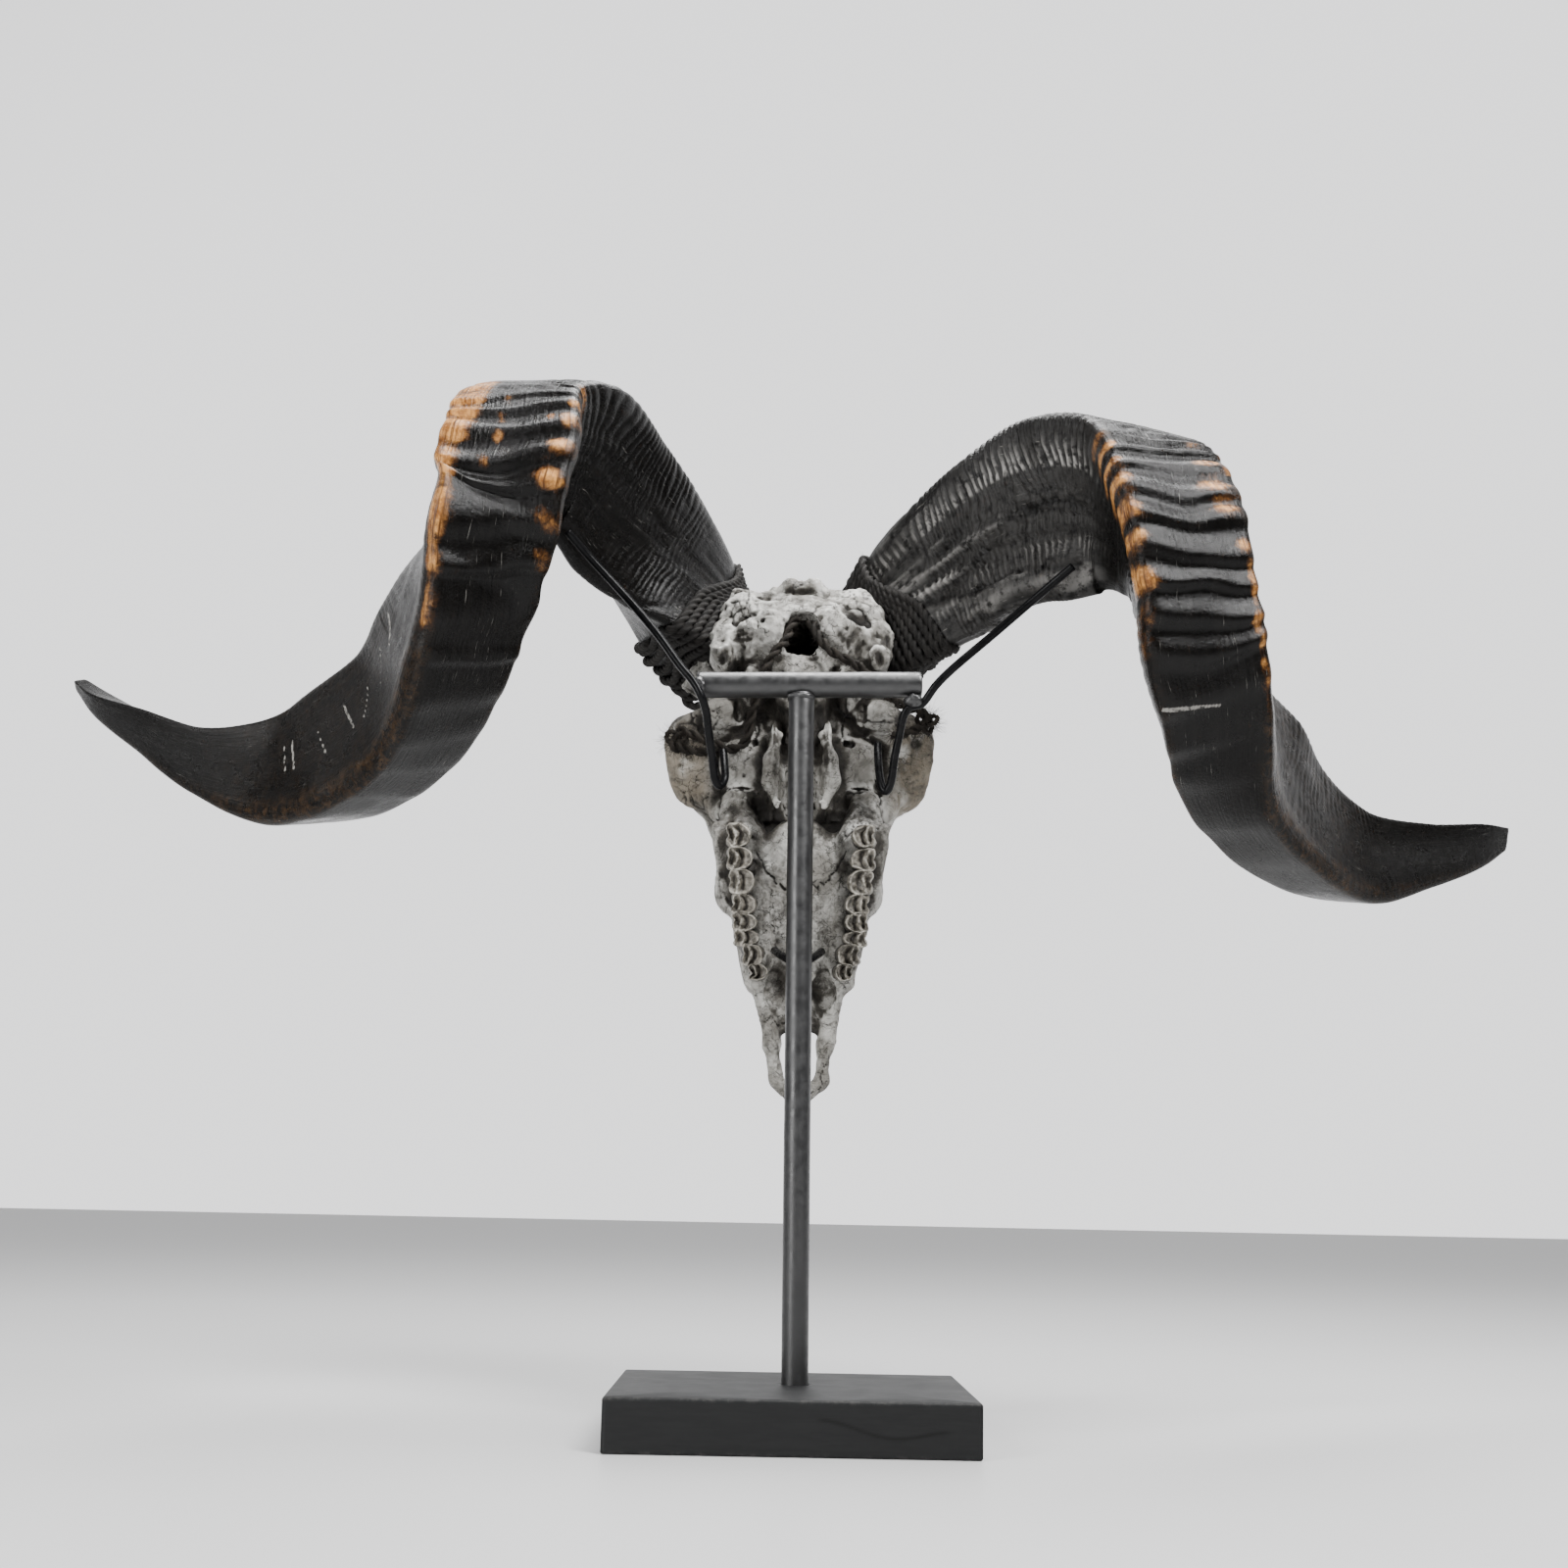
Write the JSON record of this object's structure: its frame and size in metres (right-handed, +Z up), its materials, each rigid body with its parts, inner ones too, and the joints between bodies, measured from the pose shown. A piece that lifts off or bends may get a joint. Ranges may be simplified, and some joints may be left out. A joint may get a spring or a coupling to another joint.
{
  "type": "ram skull on stand",
  "caption": "Ram skull with long curled ridged horns, hung nose down by rope and bent rods on a round post with a cross bar and a block base.",
  "frame": {"origin": "middle of the underside of the base block, where the part stands", "axes": "+Z up along the post, X along the cross bar and across the horns, +Y from the back of the skull towards its forehead"},
  "size_m": [0.7994, 0.2182, 0.5207],
  "materials": {
    "bone": "matte weathered bone",
    "horn": "polished black horn with worn brown edges",
    "stand_steel": "satin black paint over rod and weld beads",
    "base_wood": "matte black paint over wood",
    "rope": "dark twisted plant fibre"
  },
  "bodies": {
    "root": {"base_plate": "base_wood", "cross_bar": "stand_steel", "post_tube": "stand_steel", "support_rod_left": "stand_steel", "support_rod_right": "stand_steel", "palate_cradle": "stand_steel", "skull": "bone", "horn_left": "horn", "horn_right": "horn", "rope_wrap_left": "rope", "rope_wrap_right": "rope", "rope_tie_left": "rope", "rope_tie_right": "rope"}
  },
  "joints": []
}
